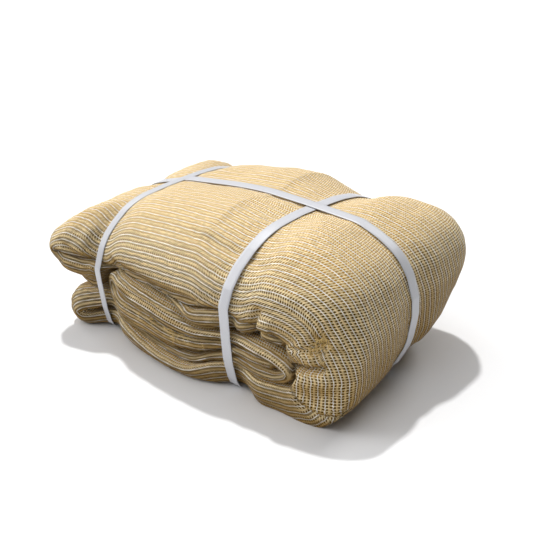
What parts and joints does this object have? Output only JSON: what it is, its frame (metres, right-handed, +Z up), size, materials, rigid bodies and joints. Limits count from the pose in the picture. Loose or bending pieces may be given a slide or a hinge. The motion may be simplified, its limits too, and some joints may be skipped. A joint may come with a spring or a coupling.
{
  "type": "folded shade sail with tie straps",
  "caption": "Knitted shade cloth with fine pale stripes, folded back and forth into a thick pillow-like bundle and held by flat straps.",
  "frame": {"origin": "middle of the bounding box at the floor, under the bundle", "axes": "+X along the stripes to the end that the cloth wraps round, -Y to the side where the folded edges show, +Z up"},
  "size_m": [0.4183, 0.3021, 0.1753],
  "materials": {
    "cloth": "matte knitted mesh of flat yarn, wheat colour with fine white stripes",
    "strap": "satin white, finely ribbed"
  },
  "bodies": {
    "root": {"folded_sail": "cloth", "tie_strap_long": "strap", "tie_strap_cross_right": "strap", "tie_strap_cross_left": "strap"}
  },
  "joints": []
}
